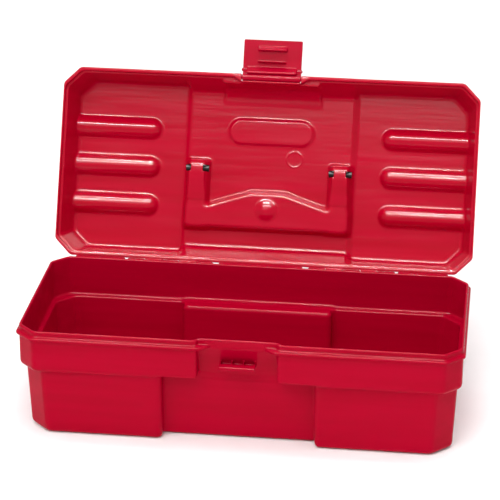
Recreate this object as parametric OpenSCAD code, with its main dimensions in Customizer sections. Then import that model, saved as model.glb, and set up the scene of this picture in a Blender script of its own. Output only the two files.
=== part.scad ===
// Small moulded toolbox: open-topped base, hinged lid with a stowable carry handle, and a front latch.
// The lid, latch and handle are drawn with the lid shut and then turned to the open rest pose.

/* [Overall] */
// length of the lid and of the base flange along X
body_l = 330; // [297:1:363]
// width of the lid and of the base flange along Y
body_w = 149.6; // [135:0.2:165]
// moulded wall thickness
wall = 2; // [1.6:0.1:2.6]
// angle by which the lid is opened from shut, in degrees
lid_open = 114.9; // [0:0.1:114.9]
// angle by which the latch is flipped out from shut, in degrees
latch_open = 90; // [0:1:90]
// angle by which the handle hangs out of its recess, in degrees
handle_out = 20.5; // [0:0.1:95]

/* [Base] */
// height of the flange top, where the lid rests
flange_z = 81.8; // [74:0.2:90]
// thickness of the flange
flange_t = 2.5; // [2:0.1:3.5]
// height of the upstand above the flange
tongue_h = 4.2; // [3:0.1:6]
// height at which the upper band starts
band_z = 53; // [48:0.5:58]
// height of the ledge inside
ledge_z = 54.8; // [50:0.1:60]
// half length of the upstand and band
band_x = 163.3; // [147:0.1:164]
// half width of the upstand and band
band_y = 71.6; // [64:0.1:73]
// half length of the lower section at the band
low_x = 160; // [144:0.1:162]
// half width of the lower section at the band
low_y = 66.6; // [60:0.1:69]
// half length at the foot
foot_x = 157.6; // [142:0.1:160]
// half width at the foot
foot_y = 63.9; // [57:0.1:67]
// corner bevel of the lower section
low_c = 14.4; // [12:0.1:18]
// corner bevel of the band
band_c = 12.6; // [11:0.1:16]
// half length of the waist recess
waist_x = 56.4; // [50:0.1:62]
// depth of the waist recess
waist_d = 10; // [7:0.1:12]
// half length of the latch notch
notch_x = 29.5; // [26:0.1:33]
// half width at the top of the latch notch wall
notch_y = 67.7; // [66:0.1:69]

/* [Catch] */
// length of the catch
catch_l = 26.6; // [22:0.2:30]
// underside height of the catch
catch_z = 63.3; // [61:0.1:65]
// reach of the catch lip from the centre plane
catch_y = 72.6; // [71.5:0.1:73.4]

/* [Lid] */
// gap between the shut lid and the flange
lid_gap = 0.3; // [0.2:0.05:0.5]
// height of the lid from its rim to the outside of its roof
lid_h = 32.3; // [29:0.1:36]
// depth by which the middle belt is stepped in
belt_d = 3; // [2:0.1:4]
// radius of the grooves pressed into the lid ends
groove_r = 8.6; // [7.5:0.1:9.5]
// spacing of the grooves
groove_pitch = 30.6; // [28:0.1:33]
// half length of the latch recess inside the lid
lrec_x = 38.2; // [35:0.1:42]

/* [Hinge] */
// hinge axis position behind the centre
hinge_y = 78; // [77:0.1:79]
// hinge axis height
hinge_z = 80.5; // [80:0.1:81]
// radius of the hinge barrels
barrel_r = 2.9; // [2.6:0.05:3]
// radius of the hinge pins
hinge_pin_r = 1.3; // [1.1:0.05:1.5]
// distance of each hinge from the middle
hinge_x = 71.5; // [60:0.5:85]
// length of one hinge barrel
barrel_l = 13.6; // [11:0.1:15]

/* [Handle] */
// pivot axis position across the lid
pivot_y = -0.3; // [-3:0.1:3]
// radius of the handle pins
handle_pin_r = 2.5; // [2:0.05:2.6]
// middle of each handle arm from the centre
arm_x = 57; // [55:0.1:59]
// width of each handle arm
arm_w = 7; // [6:0.1:8]
// reach of the grip from the pivot
grip_reach = 37.8; // [37:0.1:38.2]
// width of the grip bar
grip_w = 11; // [9:0.2:11.6]

/* [Latch] */
// latch width
latch_w = 46.4; // [42:0.2:50]
// distance from the latch axis to its free end
latch_len = 30.4; // [28:0.1:32]
// distance of the latch axis in front of the centre
latch_y = -72.3; // [-73:0.1:-72]
// latch axis height
latch_z = 84.6; // [84.4:0.1:84.8]
// radius of the latch trunnions
trunnion_r = 1.5; // [1.3:0.05:1.6]

/* [Hidden] */
$fn = 48;
rim_z = flange_z + lid_gap;
hx = body_l / 2;
hy = body_w / 2;
rim_c = 12.9;
top_z = rim_z + lid_h;
roof_z = top_z - wall;
belt_top = top_z - belt_d;
belt_roof = belt_top - wall;
tongue_z = flange_z + tongue_h;
pivot_z = rim_z + 21.9;
run = 0.05;

// ---- helpers ----

// eight-sided outline with beveled corners
function bevel_box(x, y, c) = [
    [-x + c, -y], [x - c, -y], [x, -y + c], [x, y - c],
    [x - c, y], [-x + c, y], [-x, y - c], [-x, -y + c]
];

// faces that join rings of n points in m layers
function ring_faces(n, m) = concat(
    [[for (i = [0:n - 1]) i]],
    [[for (i = [n - 1:-1:0]) (m - 1) * n + i]],
    [for (k = [0:m - 2]) for (i = [0:n - 1])
        [k * n + i, (k + 1) * n + i, (k + 1) * n + (i + 1) % n]],
    [for (k = [0:m - 2]) for (i = [0:n - 1])
        [k * n + i, (k + 1) * n + (i + 1) % n, k * n + (i + 1) % n]]
);

// solid through level outlines, each given as [z, outline]
module stack_z(rings) {
    n = len(rings[0][1]);
    polyhedron(
        points = [for (r = rings) for (p = r[1]) [p[0], p[1], r[0]]],
        faces = ring_faces(n, len(rings))
    );
}

// solid through upright sections, each given as [x, section]
module stack_x(rings) {
    n = len(rings[0][1]);
    polyhedron(
        points = [for (r = rings) for (p = r[1]) [r[0], p[0], p[1]]],
        faces = ring_faces(n, len(rings))
    );
}

// section drawn in Y and Z, pushed out along X from x1 to x2
module slab_x(x1, x2) {
    translate([x1, 0, 0])
        rotate([90, 0, 90])
            linear_extrude(height = x2 - x1)
                children();
}

// cylinder along X from x1 to x2
module rod_x(x1, x2, y, z, r) {
    translate([x1, y, z])
        rotate([0, 90, 0])
            cylinder(h = x2 - x1, r = r);
}

// the same shape on the left and on the right
module both_sides() {
    children();
    mirror([1, 0, 0])
        children();
}

// turns the shut lid and what rides on it to its open pose
module lid_pose() {
    translate([0, hinge_y, hinge_z])
        rotate([-lid_open, 0, 0])
            translate([0, -hinge_y, -hinge_z])
                children();
}

// ---- base ----

waist_foot = foot_y - waist_d;
waist_top = low_y - waist_d;
edge = 1.8;
diag_x = 22.5;
tab_x = 27.9;
roll_x = 33;
roll_r = barrel_r + 0.35;
roll_web_l = 3;
roll_web_t = 1.8;
trunnion_x = latch_w / 2 + 5.6;

module base_hull() {
    stack_z([
        [0, bevel_box(foot_x - edge, foot_y - edge, low_c - edge / 2)],
        [edge, bevel_box(foot_x, foot_y, low_c)],
        [band_z + 1, bevel_box(low_x, low_y, low_c)]
    ]);
    stack_z([
        [band_z, bevel_box(band_x - edge, band_y - edge, band_c)],
        [band_z + edge, bevel_box(band_x - 0.3, band_y - 0.5, band_c)],
        [tongue_z, bevel_box(band_x, band_y, band_c)]
    ]);
    stack_z([
        [flange_z - flange_t - 1, bevel_box(band_x, band_y, band_c)],
        [flange_z - flange_t, bevel_box(hx, hy, rim_c)],
        [flange_z, bevel_box(hx, hy, rim_c)]
    ]);
}

// space in front of the waist recess, front wall side
module waist_space(grow) {
    slab_x(-waist_x - grow, waist_x + grow)
        polygon([
            [-100, -1], [-waist_foot + grow, -1],
            [-waist_top + grow, band_z + grow], [-100, band_z + grow]
        ]);
}

// space in front of the latch notch wall
module notch_space(grow) {
    slab_x(-notch_x - grow, notch_x + grow)
        polygon([
            [-100, band_z - 3], [-waist_top + grow, band_z - 3], [-waist_top + grow, band_z + grow],
            [-waist_top - 0.8 + grow, band_z + 4 + grow], [-notch_y + 0.9 + grow, 78 + grow],
            [-notch_y + grow, tongue_z], [-notch_y + grow, 95], [-100, 95]
        ]);
}

// flange ends and upstand that turn in beside the notch
module notch_tabs() {
    translate([0, 0, flange_z - flange_t])
        linear_extrude(height = flange_t)
            both_sides()
                polygon([
                    [notch_x + 1, -hy], [tab_x, -hy], [diag_x - 2, -notch_y - 0.6],
                    [diag_x - 2, -notch_y + wall], [notch_x + 1, -notch_y + wall]
                ]);
    translate([0, 0, flange_z - flange_t])
        linear_extrude(height = flange_t + tongue_h)
            both_sides()
                polygon([
                    [notch_x + 1, -band_y], [diag_x, -notch_y],
                    [diag_x, -notch_y + wall], [notch_x + 2.6, -band_y + wall]
                ]);
}

module base_cavity() {
    difference() {
        union() {
            stack_z([
                [wall + 0.2, bevel_box(foot_x - wall - 1.4, foot_y - wall - 1.4, low_c - 1.4)],
                [wall + 2, bevel_box(foot_x - wall, foot_y - wall, low_c - 0.8)],
                [ledge_z + 0.1, bevel_box(low_x - wall, low_y - wall, low_c - 0.8)]
            ]);
            stack_z([
                [ledge_z, bevel_box(band_x - wall - 0.4, band_y - wall - 0.4, band_c - 0.8)],
                [tongue_z + 1, bevel_box(band_x - wall, band_y - wall, band_c - 0.8)]
            ]);
        }
        waist_space(wall);
        mirror([0, 1, 0])
            waist_space(wall);
        notch_space(wall);
    }
}

// ribbed shelf that the latch hooks under
module catch_shelf() {
    rib = 1.2;
    back = -notch_y + 4;
    pocket = (catch_l - 4 * rib) / 3;
    difference() {
        slab_x(-catch_l / 2, catch_l / 2)
            polygon([
                [back, catch_z - 1.5], [-catch_y + 3, catch_z], [-catch_y, catch_z],
                [-catch_y, catch_z + 2.6], [-catch_y + 0.6, catch_z + 3.2],
                [back + 1, catch_z + 4.6], [back + 3, catch_z + 4.6], [back + 3, catch_z - 1.5]
            ]);
        for (i = [0:2])
            translate([-catch_l / 2 + rib + i * (pocket + rib), -catch_y + 5.2, catch_z + 1.2])
                cube([pocket, 6.4, 10]);
    }
}

// one fixed hinge barrel with a heel that stops the lid
module base_barrel(x1, x2) {
    a = 90 - lid_open;
    slab_x(x1, x2)
        translate([hinge_y, hinge_z])
            difference() {
                union() {
                    circle(r = barrel_r);
                    rotate(a)
                        polygon([
                            [0, barrel_r], [5.5, barrel_r], [5.5, barrel_r - 1.4],
                            [1.5, -barrel_r - 2], [-3, -3]
                        ]);
                    polygon([
                        [-3.6, -3.4], [0, -barrel_r], [1.5, -4.5], [-5, -12], [-7.5, -12], [-7.5, -3.4]
                    ]);
                }
                circle(r = hinge_pin_r);
            }
}

// plain roll on the hinge line that closes the gap behind the lid
module hinge_roll(x1, x2) {
    slab_x(x1, x2)
        translate([hinge_y, hinge_z]) {
            circle(r = roll_r);
            translate([-roll_r - 1, -roll_web_t / 2])
                square([roll_web_l, roll_web_t]);
        }
}

// offsets of the five barrels of a hinge from its middle
function barrel_start(i) = (i - 2.5) * barrel_l + 0.15;

module base() {
    color("crimson") {
        difference() {
            union() {
                difference() {
                    base_hull();
                    waist_space(0);
                    mirror([0, 1, 0])
                        waist_space(0);
                    notch_space(0);
                }
                notch_tabs();
            }
            base_cavity();
        }
        catch_shelf();
        hinge_roll(-roll_x, roll_x);
        both_sides()
            hinge_roll(hinge_x + 2.5 * barrel_l + 2, band_x - band_c - 4);
        for (s = [-1, 1])
            for (i = [0:2:4])
                base_barrel(s * hinge_x + barrel_start(i), s * hinge_x + barrel_start(i) + barrel_l - 0.3);
    }
}

// ---- lid, drawn shut ----

belt_x = 67;
groove_axis = roof_z + 2.6;
groove_end = 96.8;
groove_y = 0.3;
recess_y = 69.5;
dome_y = 31.1;
dome_r = 12.7;
plate_z = belt_roof - 9;
slope_z = pivot_z - 6.6;

// half sections of the middle belt, outside and inside
outer_belt = [[hy - 1.3, rim_z + 3.3], [hy - 10.2, belt_top - 2.6], [hy - 12.6, belt_top]];
inner_belt = [[hy - 3.9, rim_z + 4.5], [hy - 11.8, belt_roof - 2], [hy - 13.6, belt_roof]];

// space around the middle belt, given half of the belt's section
module belt_space(x, h) {
    slab_x(-x, x)
        polygon(concat(
            [h[0], [200, h[0][1]], [200, 200], [-200, 200], [-200, h[0][1]]],
            [for (p = h) [-p[0], p[1]]],
            [for (i = [len(h) - 1:-1:1]) h[i]]
        ));
}

module lid_outside() {
    difference() {
        stack_z([
            [rim_z, bevel_box(hx, hy, rim_c)],
            [rim_z + 2.5, bevel_box(hx, hy, rim_c)],
            [rim_z + 3.3, bevel_box(hx - 0.4, hy - 1.4, rim_c)],
            [top_z - 3, bevel_box(hx - 6.8, hy - 6.2, rim_c - 0.4)],
            [top_z, bevel_box(hx - 9.8, hy - 9.2, rim_c - 1)]
        ]);
        belt_space(belt_x - wall / 2, outer_belt);
    }
}

// blunt fingers that run into the end walls, three at each end
module end_fingers(r, x_end) {
    both_sides()
        for (i = [-1:1])
            translate([groove_end, groove_y + i * groove_pitch, groove_axis])
                rotate([0, 90, 0])
                    rotate_extrude()
                        polygon(concat(
                            [for (a = [0:15:90]) [r * sin(a), -r * cos(a)]],
                            [[r, x_end - groove_end], [0, x_end - groove_end]]
                        ));
}

// U-shaped outline of the handle recess, drawn in by d
function grip_plan(d) = [
    [-66.5 + d, -8.6 + d], [-46.8 - d, -8.6 + d], [-46.8 - d, 26.2 + 1.38 * d],
    [-13.5 + 0.16 * d, 15.4 + d], [13.5 - 0.16 * d, 15.4 + d], [46.8 + d, 26.2 + 1.38 * d],
    [46.8 + d, -8.6 + d], [66.5 - d, -8.6 + d], [66.5 - d, 44.2 - d], [62.5 - d, 48.2 - d],
    [-62.5 + d, 48.2 - d], [-66.5 + d, 44.2 - d]
];

// deep end of each arm channel, rounded about the pivot
module arm_well(r, half, top) {
    both_sides()
        slab_x(arm_x - half, arm_x + half) {
            translate([pivot_y, pivot_z])
                circle(r = r);
            polygon([
                [pivot_y - r, pivot_z], [pivot_y - r, top], [24, top],
                [24, plate_z + 6.6 - r + 0.1], [6, pivot_z - r], [pivot_y, pivot_z - r]
            ]);
        }
}

module lid_cavity() {
    difference() {
        stack_z([
            [rim_z + 4, bevel_box(hx - 3.2, hy - 4, rim_c - 0.8)],
            [roof_z - 2.4, bevel_box(hx - 8.6, hy - 8, rim_c - 1)],
            [roof_z, bevel_box(hx - 10.4, hy - 10.2, rim_c - 1.6)]
        ]);
        belt_space(belt_x + wall / 2, inner_belt);
        end_fingers(groove_r, hx);
        // raised back of the label panel
        translate([0, 0, belt_roof - 1.6])
            label_plan();
        // raised back of the handle recess, with its domed middle
        translate([0, 0, plate_z])
            linear_extrude(height = 20)
                polygon(grip_plan(1.4));
        arm_well(6.6, 6.4, top_z + 1);
        translate([0, dome_y, plate_z + dome_r - 3])
            sphere(r = dome_r);
        // back of the latch recess
        slab_x(-lrec_x, lrec_x)
            polygon([
                [-hy - 1, rim_z + 3.9], [-68, rim_z + 3.9], [-67.2, roof_z - 11.6], [-61.6, belt_roof - 4],
                [-54.5, belt_roof], [-54.5, top_z], [-hy - 1, top_z]
            ]);
    }
    // lip that drops over the upstand of the base
    translate([0, 0, rim_z - 1])
        linear_extrude(height = tongue_h + 1)
            difference() {
                polygon(bevel_box(hx - 1.4, hy - 2.7, rim_c - 0.3));
                polygon([
                    [-notch_x + 0.3, -hy], [notch_x - 0.3, -hy], [notch_x - 0.3, -band_y - 0.3],
                    [diag_x + 0.1, -notch_y - 0.3], [-diag_x - 0.1, -notch_y - 0.3],
                    [-notch_x + 0.3, -band_y - 0.3]
                ]);
            }
}

module label_plan() {
    r = 10.1;
    linear_extrude(height = 20) {
        translate([-23.6, -31.4 - r])
            square([47.2, 2 * r]);
        both_sides()
            translate([23.6, -31.4])
                circle(r = r);
    }
}

// sloping front recess that the latch lies in
module latch_recess() {
    slab_x(-lrec_x + wall, lrec_x - wall)
        polygon([
            [-hy - 1, rim_z + 6.6], [-recess_y, rim_z + 6.6], [-recess_y + 0.5, roof_z - 11],
            [-62.6, belt_roof - 2.2], [-56, belt_top + 0.4], [-56, top_z + 1], [-hy - 1, top_z + 1]
        ]);
    slab_x(-notch_x, notch_x)
        polygon([
            [-hy - 1, rim_z - 1], [-recess_y, rim_z - 1], [-recess_y, rim_z + 7], [-hy - 1, rim_z + 7]
        ]);
}

// ears that carry the latch trunnions
module latch_ears() {
    both_sides()
        slab_x(latch_w / 2 + 0.4, notch_x - 0.4)
            intersection() {
                union() {
                    translate([latch_y, latch_z])
                        circle(r = 2.9);
                    translate([latch_y, latch_z - 2.9])
                        square([6, 5.8]);
                }
                translate([-hy - 6, rim_z])
                    square([14, 9]);
            }
}

// one lid hinge barrel and its web to the rim
module lid_barrel(x1, x2) {
    slab_x(x1, x2) {
        translate([hinge_y, hinge_z])
            circle(r = barrel_r);
        polygon([
            [hy - 2, rim_z], [hinge_y - 1.6, rim_z], [hinge_y - 0.5, hinge_z + 1.8],
            [hinge_y + 2.2, hinge_z + 1.8], [hinge_y - 0.6, rim_z + 4.6], [hy - 2, rim_z + 7]
        ]);
    }
}

// slots through the channel walls that the handle pins snap into
module pin_slots() {
    both_sides()
        for (span = [[46, arm_x - arm_w / 2 - 1.2], [arm_x + arm_w / 2 + 1.2, 68]])
            translate([span[0], pivot_y - handle_pin_r, slope_z - 3])
                cube([span[1] - span[0], 2 * handle_pin_r, pivot_z - slope_z + 3]);
}

module lid_shut() {
    difference() {
        union() {
            difference() {
                lid_outside();
                latch_recess();
            }
            latch_ears();
            for (s = [-1, 1])
                for (i = [1:2:3])
                    lid_barrel(s * hinge_x + barrel_start(i), s * hinge_x + barrel_start(i) + barrel_l - 0.3);
        }
        lid_cavity();
        // grooves pressed into the lid ends
        end_fingers(groove_r - wall, hx + 1);
        // label panel
        translate([0, 0, belt_top - 1.6])
            label_plan();
        // handle recess
        translate([0, 0, plate_z + wall])
            linear_extrude(height = 20)
                polygon(grip_plan(1.2 + wall));
        arm_well(4.8, arm_w / 2 + 0.7, top_z + 1);
        translate([0, dome_y, plate_z + dome_r - 3])
            sphere(r = dome_r - wall);
        // bores for the handle pins, latch trunnions and hinge pins
        both_sides()
            rod_x(46, 68, pivot_y, pivot_z, handle_pin_r);
        pin_slots();
        rod_x(-notch_x + 0.2, notch_x - 0.2, latch_y, latch_z, trunnion_r + run);
        rod_x(-120, 120, hinge_y, hinge_z, hinge_pin_r + run);
    }
}

module lid() {
    color("crimson")
        lid_pose()
            lid_shut();
}

// ---- latch, drawn shut ----

plate_out = latch_y - 3.3;
plate_in = latch_y - 1.3;
hook_z = catch_z - 0.25;

module latch_shut() {
    half = latch_w / 2;
    slab_x(-half, half) {
        translate([plate_out, latch_z - latch_len])
            square([plate_in - plate_out, latch_len]);
        translate([latch_y, latch_z])
            circle(r = 2.4);
        // thumb lip along the free edge
        translate([plate_out - 1.4, latch_z - latch_len])
            square([3, 2.2]);
    }
    // hook and rib that straddle the catch
    slab_x(-11.4, 11.4)
        polygon([
            [plate_in - 0.2, hook_z - 6], [plate_in + 4.2, hook_z - 1],
            [plate_in + 4.2, hook_z], [plate_in - 0.2, hook_z]
        ]);
    slab_x(-10.9, 10.9)
        polygon([
            [plate_in - 0.2, hook_z + 7.9], [plate_in + 3.9, hook_z + 8.1],
            [plate_in + 3.9, hook_z + 9.1], [plate_in - 0.2, hook_z + 9.5]
        ]);
    // heel bar beside the axis
    slab_x(-19.6, 19.6)
        polygon([
            [plate_in - 0.2, latch_z - 9], [plate_in + 3.6, latch_z - 4.6],
            [plate_in + 3.6, latch_z - 3.4], [plate_in - 0.2, latch_z - 2.6]
        ]);
    // trunnions and side nubs
    rod_x(-trunnion_x, trunnion_x, latch_y, latch_z, trunnion_r);
    rod_x(-half - 0.9, half + 0.9, latch_y - 2.2, latch_z - 6.4, 1.1);
}

module latch() {
    color("crimson")
        lid_pose()
            translate([0, latch_y, latch_z])
                rotate([-latch_open, 0, 0])
                    translate([0, -latch_y, -latch_z])
                        latch_shut();
}

// ---- handle, drawn stowed ----

grip_z = plate_z + wall + 4.8;
grip_t = 7.6;

module rounded_bar(w, t, r) {
    for (i = [-1, 1])
        for (j = [-1, 1])
            translate([i * (w / 2 - r), j * (t / 2 - r)])
                circle(r = r);
    square([w - 2 * r, t], center = true);
    square([w, t - 2 * r], center = true);
}

module handle_stowed() {
    end_r = 4.4;
    difference() {
        union() {
            both_sides()
                slab_x(arm_x - arm_w / 2, arm_x + arm_w / 2) {
                    translate([pivot_y, pivot_z])
                        circle(r = end_r);
                    polygon([
                        [pivot_y, pivot_z - end_r], [pivot_y + 6, pivot_z - end_r + 0.4],
                        [pivot_y + grip_reach - 8, grip_z - grip_t / 2],
                        [pivot_y + grip_reach, grip_z - grip_t / 2],
                        [pivot_y + grip_reach, grip_z + grip_t / 2],
                        [pivot_y + grip_reach - 8, grip_z + grip_t / 2],
                        [pivot_y + 6, pivot_z + end_r - 0.2], [pivot_y, pivot_z + end_r]
                    ]);
                }
            slab_x(-arm_x - arm_w / 2, arm_x + arm_w / 2)
                translate([pivot_y + grip_reach, grip_z])
                    rounded_bar(grip_w, grip_t, 3);
        }
        rod_x(-70, 70, pivot_y, pivot_z, handle_pin_r + run);
    }
}

module handle() {
    color("dimgray")
        lid_pose()
            translate([0, pivot_y, pivot_z])
                rotate([handle_out, 0, 0])
                    translate([0, -pivot_y, -pivot_z])
                        handle_stowed();
}

// ---- pins ----

module handle_pin(side) {
    half = 9.1;
    color("black")
        lid_pose()
            rod_x(side * arm_x - half, side * arm_x + half, pivot_y, pivot_z, handle_pin_r);
}

module hinge_pin(side) {
    x1 = side * hinge_x - 2.5 * barrel_l + 0.15;
    color("silver")
        rod_x(x1, x1 + 5 * barrel_l - 0.3, hinge_y, hinge_z, hinge_pin_r);
}

module handle_pin_left() {
    handle_pin(-1);
}

module handle_pin_right() {
    handle_pin(1);
}

module hinge_pin_left() {
    hinge_pin(-1);
}

module hinge_pin_right() {
    hinge_pin(1);
}

base();
lid();
latch();
handle();
handle_pin_left();
handle_pin_right();
hinge_pin_left();
hinge_pin_right();
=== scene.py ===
"""A small moulded toolbox, open, on a pale studio floor.

Each moulded piece is described as a signed distance field in millimetres, so that every wall, step and
rib meets its neighbour in a soft fillet, and is then meshed. The lid, latch and handle are described
with the lid shut and are turned to the open rest pose afterwards.
"""
import math

import bpy
import numpy as np
from mathutils import Matrix, Vector


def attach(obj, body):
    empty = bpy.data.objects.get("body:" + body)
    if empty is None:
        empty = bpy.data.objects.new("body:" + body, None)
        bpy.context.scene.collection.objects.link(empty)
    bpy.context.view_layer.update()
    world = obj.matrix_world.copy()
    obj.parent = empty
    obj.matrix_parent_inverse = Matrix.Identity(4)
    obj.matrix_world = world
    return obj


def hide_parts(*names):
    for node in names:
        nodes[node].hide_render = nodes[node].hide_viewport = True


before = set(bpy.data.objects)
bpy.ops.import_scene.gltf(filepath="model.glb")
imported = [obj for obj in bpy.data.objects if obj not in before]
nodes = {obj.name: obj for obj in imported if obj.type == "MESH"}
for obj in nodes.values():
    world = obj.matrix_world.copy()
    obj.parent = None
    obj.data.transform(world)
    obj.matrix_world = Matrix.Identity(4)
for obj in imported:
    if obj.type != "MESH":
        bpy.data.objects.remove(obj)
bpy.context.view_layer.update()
MM = 0.001

# ---- driving sizes, in millimetres; PLAY is the clearance of a bore on its radius ----
HALF_X, HALF_Y = 165.0, 74.8
WALL = 2.0
RIM_Z = 82.1
TOP_Z = 114.4
ROOF_Z = TOP_Z - WALL
BELT_DROP = 3.0
FLANGE_Z = 81.8
TONGUE_Z = 86.0
BAND_Z = 53.0
LEDGE_Z = 54.8
BAND_X, BAND_Y = 163.3, 71.6
FOOT_X, FOOT_Y = 157.6, 63.9
WAIST_X, WAIST_D = 56.4, 10.0
NOTCH_X = 29.5
HINGE_Y, HINGE_Z, BARREL_R, PIN_R = 78.0, 80.5, 2.9, 1.3
HINGE_X, BARREL_L, ROLL_X, ROLL_R = 71.5, 13.6, 33.0, 3.25
PIVOT_Y, PIVOT_Z, PEG_R = -0.3, 104.0, 2.5
ARM_X, ARM_W, GRIP_REACH, GRIP_W, GRIP_T = 57.0, 7.0, 37.8, 11.0, 7.6
PLATE_Z = 100.4
LATCH_Y, LATCH_Z, LATCH_W, LATCH_LEN = -72.3, 84.6, 46.4, 30.4
LATCH_ROOT_R, TRUNNION_R, TRUNNION_REACH, EAR_R = 2.65, 1.5, 5.6, 2.9
PLAY = 0.05
RIM_CORNER = 12.9
BELT_X, BELT_RAMP = 68.25, 4.1
GROOVE_R = 8.6
DOME_Y, DOME_RISE, DOME_R = 31.1, 9.7, 12.7
PANEL_X, PANEL_Y, PANEL_R = 23.6, -31.4, 10.1
GATE_X, GATE_Y, GATE_R = 19.6, -10.8, 6.1
LID_OPEN, LATCH_OPEN, HANDLE_OUT = 114.9, 90.0, 20.5


# ---- field helpers ----
def smax(a, b, k):
    """Intersection of two fields with a fillet about k wide."""
    h = np.maximum(k - np.abs(a - b), 0.0)
    return np.maximum(a, b) + h * h / (4 * k)


def smin(a, b, k):
    """Union of two fields with a fillet about k wide."""
    return -smax(-a, -b, k)


def ease(t, soft=0.3):
    """0 to 1, straight in the middle and soft at both ends."""
    return smin(smax(t, 0.0, soft), 1.0, soft)


def octagon(ax, ay, hx, hy, corner, k=1.8):
    return smax(np.maximum(ax - hx, ay - hy), (ax + ay - (hx + hy - corner)) * math.sqrt(0.5), k)


def slab(v, centre, half):
    return np.abs(v - centre) - half


def convex(u, v, points, k=0.4):
    """Convex outline through points, listed counterclockwise."""
    field = None
    for (u0, v0), (u1, v1) in zip(points, points[1:] + points[:1]):
        length = math.hypot(u1 - u0, v1 - v0)
        side = ((u - u0) * (v1 - v0) - (v - v0) * (u1 - u0)) / length
        field = side if field is None else smax(field, side, k)
    return field


def disc(u, v, cu, cv, r):
    return np.sqrt((u - cu) ** 2 + (v - cv) ** 2) - r


def run(z, heights, values):
    """Value that follows a few straight runs over height."""
    return np.interp(z, heights, values).astype(z.dtype)


def barrels(ax, centres):
    """Distance along X to the nearest of a hinge's barrels."""
    gaps = [np.abs(ax - HINGE_X - c * BARREL_L) for c in centres]
    return np.minimum.reduce(gaps) - (BARREL_L / 2 - 0.15)


# ---- the three moulded shells and the handle ----
def base_field(x, y, z):
    ax, ay = np.abs(x), np.abs(y)
    rise = z / (BAND_Z + 1)
    foot_x, foot_y = FOOT_X + 2.4 * rise, FOOT_Y + 2.7 * rise
    low = smax(octagon(ax, ay, foot_x, foot_y, 14.4), z - BAND_Z - 3, 1)
    low = smax(low, -z, 5)
    band = smax(octagon(ax, ay, BAND_X, BAND_Y, 12.6), BAND_Z - z, 4.5)
    outer = smin(low, band, 1.5)
    waist_y = foot_y - WAIST_D
    waist = smax(smax(ax - WAIST_X, waist_y - ay, 2.5), z - BAND_Z, 2.5)
    outer = smax(outer, -waist, 4.5)
    notch_y = run(z, [50, 53, 57, 78, 87], [56.5, 56.65, 57.4, 66.8, 67.7])
    notch = smax(smax(ax - NOTCH_X, y + notch_y, 2.5), BAND_Z - 3 - z, 2)
    outer = smax(outer, -notch, 2.5)
    turn = convex(ax, y, [(31.5, -71.6), (32.6, -69.6), (22.5, -65.7),
                          (20.5, -65.7), (20.5, -67.7), (22.5, -67.7)], 0.6)
    outer = smin(outer, smax(turn, FLANGE_Z - 2.5 - z, 1), 1.2)
    outer = smax(outer, z - TONGUE_Z, 1.2)
    flange = smax(octagon(ax, ay, HALF_X, HALF_Y, RIM_CORNER, 1.5), -np.maximum(ax - NOTCH_X, y + 67), 1)
    tab = convex(ax, y, [(30.5, -74.8), (30.5, -65.7), (20.5, -65.7), (20.5, -68.3), (27.9, -74.8)], 1)
    flange = smax(np.minimum(flange, tab), slab(z, FLANGE_Z - 1.25, 1.25), 1)
    outer = smin(outer, flange, 1.2)

    inner = smax(octagon(ax, ay, foot_x - WALL, foot_y - WALL, 13.6, 2.5), z - LEDGE_Z - 2, 0.5)
    inner = smax(inner, WALL + 0.2 - z, 6)
    upper = smax(octagon(ax, ay, BAND_X - 2.2, BAND_Y - 2.2, 11.8), LEDGE_Z - z, 2.5)
    cavity = smin(inner, upper, 1.6)
    waist_in = smax(smax(ax - WAIST_X - WALL, waist_y - WALL - ay, 5), z - BAND_Z - WALL, 3)
    cavity = smax(cavity, -waist_in, 3.5)
    notch_in = smax(smax(ax - NOTCH_X - WALL, y + notch_y - WALL, 5), BAND_Z - 3 - z, 2)
    cavity = smax(cavity, -notch_in, 3.5)
    solid = smax(outer, -cavity, 1.1)

    shelf = smax(convex(y, z, [(-60.7, 61.8), (-60.7, 67.9), (-62.7, 67.9), (-72.0, 66.5),
                               (-72.6, 65.9), (-72.6, 63.3), (-69.6, 63.3), (-63.7, 61.8)], 0.7),
                 ax - 13.3, 0.8)
    cell = (26.6 - 4.8) / 3
    near = x - (cell + 1.2) * np.clip(np.round(x / (cell + 1.2)), -1, 1)
    pocket = smax(smax(slab(near, 0, cell / 2), slab(y, -64.2, 3.2), 1), 64.5 - z, 0.8)
    shelf = smax(shelf, -pocket, 0.6)
    solid = smin(solid, np.maximum(shelf, y + notch_y - 1.2), 0.8)

    u, v = y - HINGE_Y, z - HINGE_Z
    turn_by = math.radians(90 - LID_OPEN)
    hu, hv = u * math.cos(turn_by) + v * math.sin(turn_by), v * math.cos(turn_by) - u * math.sin(turn_by)
    heel = convex(hu, hv, [(0, BARREL_R), (-3, -3), (1.5, -4.9), (5.5, 1.5), (5.5, BARREL_R)])
    web = convex(u, v, [(-7.5, -3.4), (-7.5, -12), (-5, -12), (1.5, -4.5), (0, -BARREL_R)])
    knuckle = smin(smin(disc(u, v, 0, 0, BARREL_R), heel, 0.8), web, 0.8)
    knuckle = smax(knuckle, barrels(ax, (-2, 0, 2)), 0.7)
    solid = smin(solid, knuckle, 0.8)
    bore = np.maximum(disc(u, v, 0, 0, PIN_R + PLAY), slab(ax, HINGE_X, 2.5 * BARREL_L + 1))
    solid = np.maximum(solid, -bore)
    roll = smin(disc(u, v, 0, 0, ROLL_R), np.maximum(slab(u, -2.75, 1.5), np.abs(v) - 0.9), 0.6)
    roll = smax(roll, np.minimum(ax - ROLL_X, slab(ax, 127.1, 19.6)), 1)
    return smin(solid, roll, 0.5)


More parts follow.
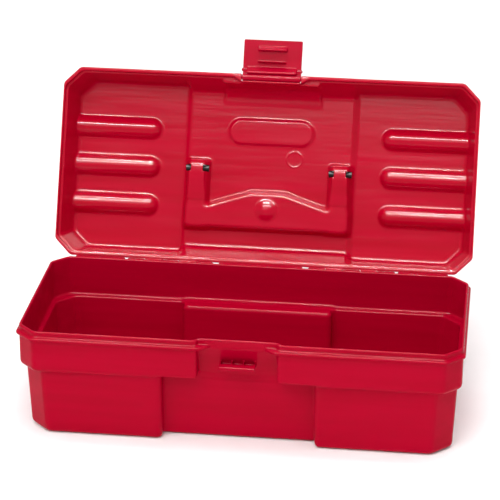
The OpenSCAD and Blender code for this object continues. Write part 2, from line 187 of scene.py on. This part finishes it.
def recess_plan(ax, y):
    """U-shaped outline of the handle recess, in plan."""
    arm = smax(slab(ax, 56.65, 9.85), slab(y, 19.8, 28.4), 4)
    slope = 10.8 / 33.3
    edge = 15.4 + slope * np.clip(ax - 13.5, 0, 33.3)
    cross = smax(smax((edge - y) / math.hypot(1, slope), y - 48.2, 3), ax - 66.5, 5)
    return smin(arm, cross, 3)


def arm_well(ax, y, z, r, half, floor, top):
    """Deep end of an arm channel, rounded about the pivot."""
    block = convex(y, z, [(PIVOT_Y - r, top), (PIVOT_Y - r, PIVOT_Z), (PIVOT_Y, PIVOT_Z - r),
                          (6, PIVOT_Z - r), (24, floor), (24, top)], 0.6)
    return smax(np.minimum(disc(y, z, PIVOT_Y, PIVOT_Z, r), block), slab(ax, ARM_X, half), 1.6)


def finger(ax, y, z, r):
    """Blunt-ended groove or rib at each end of the lid."""
    pitch = 30.6
    v = y - 0.3
    v = v - pitch * np.clip(np.round(v / pitch), -1, 1)
    back = np.maximum(96.8 - ax, 0)
    return np.sqrt(back ** 2 + v ** 2 + (z - ROOF_Z - 2.6) ** 2) - r


def lid_field(x, y, z):
    ax, ay = np.abs(x), np.abs(y)
    t = z - RIM_Z
    belt = ease((BELT_X - ax) / BELT_RAMP)
    belt_in = ease((BELT_X + 0.65 - ax) / BELT_RAMP)
    side_y = 73.4 - 0.185 * (t - 3.3)
    belt_y = 73.5 - 0.38 * (t - 3.3)
    wall = octagon(ax, ay, 164.6 - 0.246 * np.maximum(t - 3.3, 0), side_y + (belt_y - side_y) * belt, 12.5)
    outer = smax(wall, z - TOP_Z + BELT_DROP * belt, 6)
    outer = smax(outer, -finger(ax, y, z, GROOVE_R - WALL), 2)
    lip = smax(octagon(ax, ay, HALF_X - 0.1, HALF_Y, RIM_CORNER, 1.5), t - 2.8, 1.2)
    outer = smin(outer, lip, 0.8)
    outer = smax(outer, -t, 0.4)

    recess_y = run(z, [88, 101.4, 107.2, 112], [-69.5, -69, -62.6, -55.8])
    recess = smax(smax(ax - 36.2, (y - recess_y) * 0.85, 2), 6.6 - t, 1)
    outer = smax(outer, -recess, 2)
    outer = smax(outer, -smax(ax - NOTCH_X, np.maximum(y + 69.5, t - 8), 0.4), 0.3)
    ear = smin(disc(y, z, LATCH_Y, LATCH_Z, EAR_R),
               np.maximum(slab(y, -69.3, 3), slab(z, LATCH_Z, EAR_R)), 0.4)
    outer = smin(outer, smax(smax(ear, slab(ax, 26.55, 2.95), 0.8), -t, 0.4), 0.6)

    side_y = 70.8 - 0.167 * (t - 4)
    belt_y = 70.9 - 0.38 * (t - 4)
    cavity = octagon(ax, ay, 161.8 - 0.226 * (t - 4), side_y + (belt_y - side_y) * belt_in, 12)
    cavity = smax(cavity, z - ROOF_Z + BELT_DROP * belt_in, 3)
    cavity = smax(cavity, 3.9 - t, 0.3)
    cavity = smax(cavity, -finger(ax, y, z, GROOVE_R), 2)
    capsule = np.sqrt(np.maximum(ax - PANEL_X, 0) ** 2 + (y - PANEL_Y) ** 2) - PANEL_R
    panel_roof = ROOF_Z - BELT_DROP
    cavity = smax(cavity, -smax(capsule + 0.5 * (panel_roof - z), panel_roof - 1.9 - z, 1.2), 2.4)
    plan = recess_plan(ax, y)
    cavity = smax(cavity, -smax(plan + 0.3 * (panel_roof - z), PLATE_Z - z, 2.2), 1.2)
    cavity = smax(cavity, -arm_well(ax, y, z, 6.6, 6.4, PLATE_Z + 0.1, TOP_Z), 2)
    dome = np.sqrt(x ** 2 + (y - DOME_Y) ** 2 + (z - PLATE_Z - DOME_RISE) ** 2)
    cavity = smax(cavity, -(dome - DOME_R), 1.5)
    back_y = run(z, [86, 100.8, 105.4, 109.6], [-68, -67.2, -61.6, -54.3])
    cavity = smax(cavity, -smax(ax - 38.2, (y - back_y) * 0.85, 2.5), 2.5)
    ring = np.sqrt((x - GATE_X) ** 2 + (y - GATE_Y) ** 2) - GATE_R
    cavity = cavity + 0.35 * np.exp(-(ring / 0.7) ** 2) * np.exp(-((z - panel_roof) / 2) ** 2)
    front = run(ax, [22.6, 29.2, 29.4], [68.0, 71.9, 80.0])
    lap = smax(octagon(ax, ay, HALF_X - 1.4, HALF_Y - 2.7, 12.6, 2), t - 4.2, 0.6)
    lap = smax(lap, -y - front, 0.6)
    cavity = smin(cavity, lap, 0.8)

    u, v = y - HINGE_Y, z - HINGE_Z
    web = convex(y, z, [(72.8, 82.1), (76.4, 82.1), (77.5, 82.3), (80.2, 82.3), (77.4, 86.7), (72.8, 89.1)])
    knuckle = smax(smin(disc(u, v, 0, 0, BARREL_R), web, 0.8), barrels(ax, (-1, 1)), 0.7)
    outer = smin(outer, knuckle, 0.8)
    solid = smax(outer, -cavity, 1)

    solid = smax(solid, -smax(capsule, TOP_Z - BELT_DROP - 1.7 - z, 0.8), 1)
    solid = smax(solid, -smax(plan + WALL + 0.3 * (panel_roof - z), PLATE_Z + WALL - z, 2.5), 2)
    solid = smax(solid, -arm_well(ax, y, z, 4.8, ARM_W / 2 + 0.7, PLATE_Z + WALL, TOP_Z + 3), 0.8)
    solid = smax(solid, DOME_R - WALL - dome, 1)
    pegs = np.maximum(disc(y, z, PIVOT_Y, PIVOT_Z, PEG_R + PLAY), slab(ax, ARM_X, 11))
    slots = np.maximum(slab(y, PIVOT_Y, PEG_R), slab(z, 99, 5))
    slots = np.maximum(slots, np.minimum(slab(ax, 49.15, 3.15), slab(ax, 64.85, 3.15)))
    solid = smax(solid, -np.minimum(pegs, slots), 0.5)
    latch_bore = np.maximum(disc(y, z, LATCH_Y, LATCH_Z, TRUNNION_R + PLAY), ax - NOTCH_X + 0.2)
    hinge_bore = np.maximum(disc(u, v, 0, 0, PIN_R + PLAY), ax - HINGE_X - 40)
    return np.maximum(np.maximum(solid, -latch_bore), -hinge_bore)


def latch_field(x, y, z):
    ax = np.abs(x)
    out, inn = LATCH_Y - 3.3, LATCH_Y - 1.3
    hook = 63.3 - 0.25
    low = LATCH_Z - LATCH_LEN
    plate = smax(slab(y, (out + inn) / 2, 1), slab(z, low + LATCH_LEN / 2, LATCH_LEN / 2), 0.5)
    plate = smin(plate, disc(y, z, LATCH_Y, LATCH_Z, LATCH_ROOT_R), 1)
    plate = smin(plate, smax(slab(y, out + 0.1, 1.5), slab(z, low + 1.1, 1.1), 0.8), 0.3)
    body = smax(plate, ax - LATCH_W / 2, 1)
    claw = convex(y, z, [(inn - 0.2, hook - 4), (inn + 4.4, hook - 1), (inn + 4.2, hook), (inn - 0.2, hook)])
    rib = convex(y, z, [(inn - 0.2, hook + 7.9), (inn + 3.9, hook + 8.1),
                        (inn + 3.9, hook + 9.1), (inn - 0.2, hook + 9.5)])
    heel = convex(y, z, [(inn - 0.2, LATCH_Z - 9), (inn + 3.6, LATCH_Z - 4.6),
                         (inn + 3.6, LATCH_Z - 3.4), (inn - 0.2, LATCH_Z - 2.6)])
    body = smin(body, smax(claw, ax - 11.4, 0.6), 0.5)
    body = smin(body, smax(rib, ax - 10.9, 0.6), 0.5)
    body = smin(body, smax(heel, ax - 19.6, 0.6), 0.5)
    trunnion = smax(disc(y, z, LATCH_Y, LATCH_Z, TRUNNION_R), ax - LATCH_W / 2 - TRUNNION_REACH, 0.5)
    body = smin(body, trunnion, 0.3)
    nub = smax(disc(y, z, LATCH_Y - 2.2, LATCH_Z - 6.4, 1.1), ax - LATCH_W / 2 - 0.9, 0.4)
    return smin(body, nub, 0.3)


def handle_field(x, y, z):
    ax = np.abs(x)
    grip_y, grip_z = PIVOT_Y + GRIP_REACH, PLATE_Z + WALL + 4.8
    end_r = 4.4
    arm = convex(y, z, [(PIVOT_Y, PIVOT_Z - end_r), (grip_y - 8, grip_z - GRIP_T / 2),
                        (grip_y, grip_z - GRIP_T / 2), (grip_y, grip_z + GRIP_T / 2),
                        (PIVOT_Y + 6, PIVOT_Z + end_r - 0.2), (PIVOT_Y, PIVOT_Z + end_r)], 0.6)
    arm = smin(arm, disc(y, z, PIVOT_Y, PIVOT_Z, end_r), 0.6)
    arm = smax(arm, ARM_X - ARM_W / 2 - ax, 1.6)
    bar = smax(slab(y, grip_y, GRIP_W / 2), slab(z, grip_z, GRIP_T / 2), 5)
    solid = smax(smin(arm, bar, 3), ax - ARM_X - ARM_W / 2, 2)
    bore = np.maximum(disc(y, z, PIVOT_Y, PIVOT_Z, PEG_R + PLAY), ax - 75)
    return smax(solid, -bore, 0.4)


# ---- meshing ----
CORNERS = [(i, j, k) for i in (0, 1) for j in (0, 1) for k in (0, 1)]
EDGES = [(a, b) for a in range(8) for b in range(a + 1, 8)
         if sum(p != q for p, q in zip(CORNERS[a], CORNERS[b])) == 1]


def gradient(field, p, reach):
    slopes = []
    for axis in range(3):
        step = np.zeros(3)
        step[axis] = reach
        slopes.append(field(*(p + step).T) - field(*(p - step).T))
    return np.stack(slopes, axis=1) / (2 * reach)


def surface(field, low, high, cell):
    """Vertices and quads of the zero surface of a field."""
    axes = [np.arange(a - 1.37 * cell, b + 1.6 * cell, cell) for a, b in zip(low, high)]
    shape = tuple(len(a) for a in axes)
    grid = np.broadcast_to(field(*(a.astype(np.float32).reshape(s) for a, s in
                                   zip(axes, ((-1, 1, 1), (1, -1, 1), (1, 1, -1))))), shape)
    inside = grid < 0
    count = sum(inside[i:shape[0] - 1 + i, j:shape[1] - 1 + j, k:shape[2] - 1 + k].astype(np.int8)
                for i, j, k in CORNERS)
    cells = np.argwhere((count > 0) & (count < 8))
    values = np.stack([grid[tuple((cells + c).T)] for c in CORNERS], axis=1)
    total, hits = np.zeros((len(cells), 3)), np.zeros(len(cells))
    for a, b in EDGES:
        cross = (values[:, a] < 0) != (values[:, b] < 0)
        share = values[cross, a] / (values[cross, a] - values[cross, b])
        start, end = np.array(CORNERS[a]), np.array(CORNERS[b])
        total[cross] += start + (end - start) * share[:, None]
        hits[cross] += 1
    origin = np.array([a[0] for a in axes])
    points = origin + cell * (cells + total / hits[:, None])
    for _ in range(2):
        slope = gradient(field, points, 0.05)
        size = np.maximum((slope ** 2).sum(axis=1), 0.25)
        move = slope * (field(*points.T) / size)[:, None]
        points -= np.clip(move, -0.35 * cell, 0.35 * cell)

    index = np.full(tuple(n - 1 for n in shape), -1, np.int64)
    index[tuple(cells.T)] = np.arange(len(cells))
    quads = []
    for axis in range(3):
        ahead = [slice(None)] * 3
        ahead[axis] = slice(1, None)
        behind = [slice(None)] * 3
        behind[axis] = slice(None, -1)
        flips = np.argwhere(inside[tuple(ahead)] != inside[tuple(behind)])
        u, v = np.eye(3, dtype=int)[(axis + 1) % 3], np.eye(3, dtype=int)[(axis + 2) % 3]
        ring = [index[tuple((flips - s).T)] for s in (u + v, v, 0 * u, u)]
        quad = np.stack(ring, axis=1)
        leaving = inside[tuple(flips.T)]
        quad[~leaving] = quad[~leaving][:, ::-1]
        quads.append(quad)
    return points, np.concatenate(quads)


def moulded(name, field, low, high, cell, keep, pose, body, material):
    """Mesh of a field, thinned to a share of its faces, with its normals taken from the field."""
    points, quads = surface(field, low, high, cell)
    rough = bpy.data.meshes.new(name + "_full")
    rough.vertices.add(len(points))
    rough.vertices.foreach_set("co", points.ravel())
    rough.loops.add(quads.size)
    rough.loops.foreach_set("vertex_index", quads.ravel())
    rough.polygons.add(len(quads))
    rough.polygons.foreach_set("loop_start", np.arange(0, quads.size, 4))
    rough.update(calc_edges=True)
    obj = bpy.data.objects.new(name, rough)
    bpy.context.scene.collection.objects.link(obj)
    thin = obj.modifiers.new("thin", "DECIMATE")
    thin.ratio = keep
    mesh = bpy.data.meshes.new_from_object(obj.evaluated_get(bpy.context.evaluated_depsgraph_get()))
    obj.modifiers.remove(thin)
    obj.data = mesh
    mesh.name = name
    bpy.data.meshes.remove(rough)
    co = np.empty(len(mesh.vertices) * 3)
    mesh.vertices.foreach_get("co", co)
    normals = gradient(field, co.reshape(-1, 3), 0.3)
    normals /= np.maximum(np.linalg.norm(normals, axis=1), 1e-9)[:, None]
    mesh.polygons.foreach_set("use_smooth", np.ones(len(mesh.polygons), bool))
    mesh.normals_split_custom_set_from_vertices(normals)
    mesh.transform(pose)
    mesh.materials.append(material)
    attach(obj, body)
    return obj


def turn_x(degrees, y, z):
    """Turn about an axis along X through y, z, in millimetres."""
    pivot = Vector((0, y, z))
    turn = Matrix.Rotation(math.radians(degrees), 4, "X")
    return Matrix.Translation(pivot) @ turn @ Matrix.Translation(-pivot)


# ---- materials ----
def principled(name, roughness, gloss=0.5):
    mat = bpy.data.materials.new(name)
    mat.use_nodes = True
    shader = mat.node_tree.nodes["Principled BSDF"]
    shader.inputs["Roughness"].default_value = roughness
    shader.inputs["Specular IOR Level"].default_value = gloss
    return mat, mat.node_tree, shader


def node(tree, kind, **values):
    made = tree.nodes.new(kind)
    for key, value in values.items():
        if key in made.inputs:
            made.inputs[key].default_value = value
        else:
            setattr(made, key, value)
    return made


def spread(tree, source, low, high, out_low, out_high):
    """Maps a texture value to a range."""
    mapped = node(tree, "ShaderNodeMapRange")
    for socket, value in zip(("From Min", "From Max", "To Min", "To Max"), (low, high, out_low, out_high)):
        mapped.inputs[socket].default_value = value
    tree.links.new(source, mapped.inputs["Value"])
    return mapped.outputs["Result"]


def noise(tree, coords, scale, detail=3.0, stretch=(1, 1, 1)):
    place = node(tree, "ShaderNodeMapping")
    place.inputs["Scale"].default_value = stretch
    tree.links.new(coords, place.inputs["Vector"])
    made = node(tree, "ShaderNodeTexNoise", Scale=scale, Detail=detail)
    tree.links.new(place.outputs["Vector"], made.inputs["Vector"])
    return made.outputs["Fac"]


def plastic(name, dark, light, rough_low, rough_high, grain=0.05, gloss=0.045):
    """Moulded plastic: faint flow streaks, an uneven gloss and a fine spark-eroded grain."""
    mat, tree, shader = principled(name, rough_low, gloss)
    coords = node(tree, "ShaderNodeTexCoord").outputs["Object"]
    streak = (2, 30, 30)
    flow = noise(tree, coords, 4, 4, streak)
    cloud = noise(tree, coords, 9, 4, streak)
    blend = node(tree, "ShaderNodeMix", data_type="RGBA")
    blend.inputs[6].default_value = (*dark, 1)
    blend.inputs[7].default_value = (*light, 1)
    tree.links.new(spread(tree, flow, 0.35, 0.65, 0, 1), blend.inputs[0])
    tree.links.new(blend.outputs[2], shader.inputs["Base Color"])
    tree.links.new(spread(tree, cloud, 0.3, 0.7, rough_low, rough_high), shader.inputs["Roughness"])
    speck = noise(tree, coords, 1400, 2)
    waves = noise(tree, coords, 9, 2, streak)
    fine = node(tree, "ShaderNodeBump", Strength=grain, Distance=0.0002)
    tree.links.new(speck, fine.inputs["Height"])
    soft = node(tree, "ShaderNodeBump", Strength=0.035, Distance=0.002)
    tree.links.new(waves, soft.inputs["Height"])
    tree.links.new(fine.outputs["Normal"], soft.inputs["Normal"])
    tree.links.new(soft.outputs["Normal"], shader.inputs["Normal"])
    return mat


def steel(name):
    mat, tree, shader = principled(name, 0.28)
    shader.inputs["Metallic"].default_value = 1.0
    coords = node(tree, "ShaderNodeTexCoord").outputs["Object"]
    drawn = noise(tree, coords, 60, 3, (1, 40, 40))
    blend = node(tree, "ShaderNodeMix", data_type="RGBA")
    blend.inputs[6].default_value = (0.36, 0.35, 0.34, 1)
    blend.inputs[7].default_value = (0.62, 0.61, 0.60, 1)
    tree.links.new(drawn, blend.inputs[0])
    tree.links.new(blend.outputs[2], shader.inputs["Base Color"])
    tree.links.new(spread(tree, drawn, 0.3, 0.7, 0.22, 0.4), shader.inputs["Roughness"])
    return mat


red = plastic("red_plastic", (0.35, 0.0, 0.015), (0.385, 0.0, 0.018), 0.12, 0.22)
# The lid's red is a lighter copy of the base red. Its brighter base colour is painted light, standing in for
# the extra light that falls on the inside of the open lid. Its higher gloss and lower roughness are the
# finish.
glossy_red_painted_light = plastic("glossy_red_plastic_painted_light", (0.415, 0.0, 0.015), (0.455, 0.0, 0.020), 0.08, 0.2,
                       gloss=0.15)
black = plastic("black_plastic", (0.010, 0.010, 0.009), (0.018, 0.018, 0.016), 0.34, 0.5,
                grain=0.1, gloss=0.16)
wire = steel("drawn_wire")

# ---- pieces ----
in_metres = Matrix.Scale(MM, 4)
open_lid = turn_x(-LID_OPEN, HINGE_Y, HINGE_Z)
lid_pose = in_metres @ open_lid
latch_pose = lid_pose @ turn_x(-LATCH_OPEN, LATCH_Y, LATCH_Z)
handle_pose = lid_pose @ turn_x(HANDLE_OUT, PIVOT_Y, PIVOT_Z)

# name, field, lowest and highest corner, cell, share of faces kept, pose, body, material, CAD node, slot
pieces = [
    ("toolbox_base", base_field, (-165, -74.8, 0), (165, 84.6, 86),
     0.95, 0.2, in_metres, "base", red, "base", "shell"),
    ("toolbox_lid", lid_field, (-165, -75.3, 77.6), (165, 80.9, 114.4),
     0.85, 0.25, lid_pose, "lid", glossy_red_painted_light, "lid", "shell"),
    ("front_latch", latch_field, (-28.8, -77.1, 54.2), (28.8, -69, 87),
     0.4, 0.3, latch_pose, "latch", red, "latch", "shell"),
    ("carry_handle", handle_field, (-60.5, -4.8, 99), (60.5, 43, 111),
     0.5, 0.3, handle_pose, "handle", black, "handle", "grip"),
]
for name, field, low, high, cell, keep, pose, body, material, stands_for, slot in pieces:
    piece = moulded(name, field, low, high, cell, keep, pose, body, material)
    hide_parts(stands_for)

for name in ("handle_pin_left", "handle_pin_right"):
    nodes[name].data.materials.clear()
    nodes[name].data.materials.append(black)
for name in ("hinge_pin_left", "hinge_pin_right"):
    nodes[name].data.materials.clear()
    nodes[name].data.materials.append(wire)

# ---- camera ----
camera = bpy.data.objects.new("camera", bpy.data.cameras.new("camera"))
bpy.context.scene.collection.objects.link(camera)
camera.data.sensor_width = 36
camera.data.lens = 162.4
camera.data.clip_end = 20
target = Vector((0.0009, 0.0, 0.1293))
camera.location = Vector((0.1808, -1.5340, 0.7837))
aim = (target - camera.location).to_track_quat("-Z", "Y")
camera.rotation_euler = (aim.to_matrix() @ Matrix.Rotation(math.radians(0.37), 3, "Z")).to_euler()
bpy.context.scene.camera = camera


# ---- stage and light ----
def area_light(name, place, aim_at, width, height, power):
    data = bpy.data.lights.new(name, "AREA")
    data.shape = "RECTANGLE"
    data.size, data.size_y, data.energy = width, height, power
    lamp = bpy.data.objects.new(name, data)
    lamp.location = place
    lamp.rotation_euler = (Vector(aim_at) - Vector(place)).to_track_quat("-Z", "Y").to_euler()
    bpy.context.scene.collection.objects.link(lamp)
    return lamp


floor_mesh = bpy.data.meshes.new("floor")
reach = 6.0
corners = [(-reach, -reach, 0), (reach, -reach, 0), (reach, reach, 0), (-reach, reach, 0)]
floor_mesh.from_pydata(corners, [], [(0, 1, 2, 3)])
floor = bpy.data.objects.new("floor", floor_mesh)
floor.location.z = -0.0002
bpy.context.scene.collection.objects.link(floor)
paper, tree, shader = principled("pale_paper", 0.9)
fibre = noise(tree, node(tree, "ShaderNodeTexCoord").outputs["Object"], 60, 4)
tone = node(tree, "ShaderNodeMix", data_type="RGBA")
tone.inputs[6].default_value = (0.90, 0.90, 0.90, 1)
tone.inputs[7].default_value = (0.93, 0.93, 0.93, 1)
tree.links.new(fibre, tone.inputs[0])
tree.links.new(tone.outputs[2], shader.inputs["Base Color"])
floor_mesh.materials.append(paper)

world = bpy.data.worlds.new("studio")
world.use_nodes = True
world.node_tree.nodes["Background"].inputs["Color"].default_value = (1, 1, 1, 1)
world.node_tree.nodes["Background"].inputs["Strength"].default_value = 0.75
bpy.context.scene.world = world
area_light("key", (-0.35, -1.4, 1.7), (0, 0, 0.08), 1.6, 1.0, 25)
for name, place, height in (("strip_high", (0, -0.02, 1.75), 0.03), ("strip_low", (0, -0.67, 1.54), 0.025)):
    strip = area_light(name, place, (0, 0.13, 0.15), 1.6, height, 110)
    strip.visible_diffuse = False
top = area_light("top", (0.1, 0.1, 1.7), (0, 0.05, 0.1), 1.4, 1.0, 14)
top.visible_glossy = False
bpy.context.scene.view_settings.view_transform = "Standard"

bpy.context.view_layer.update()
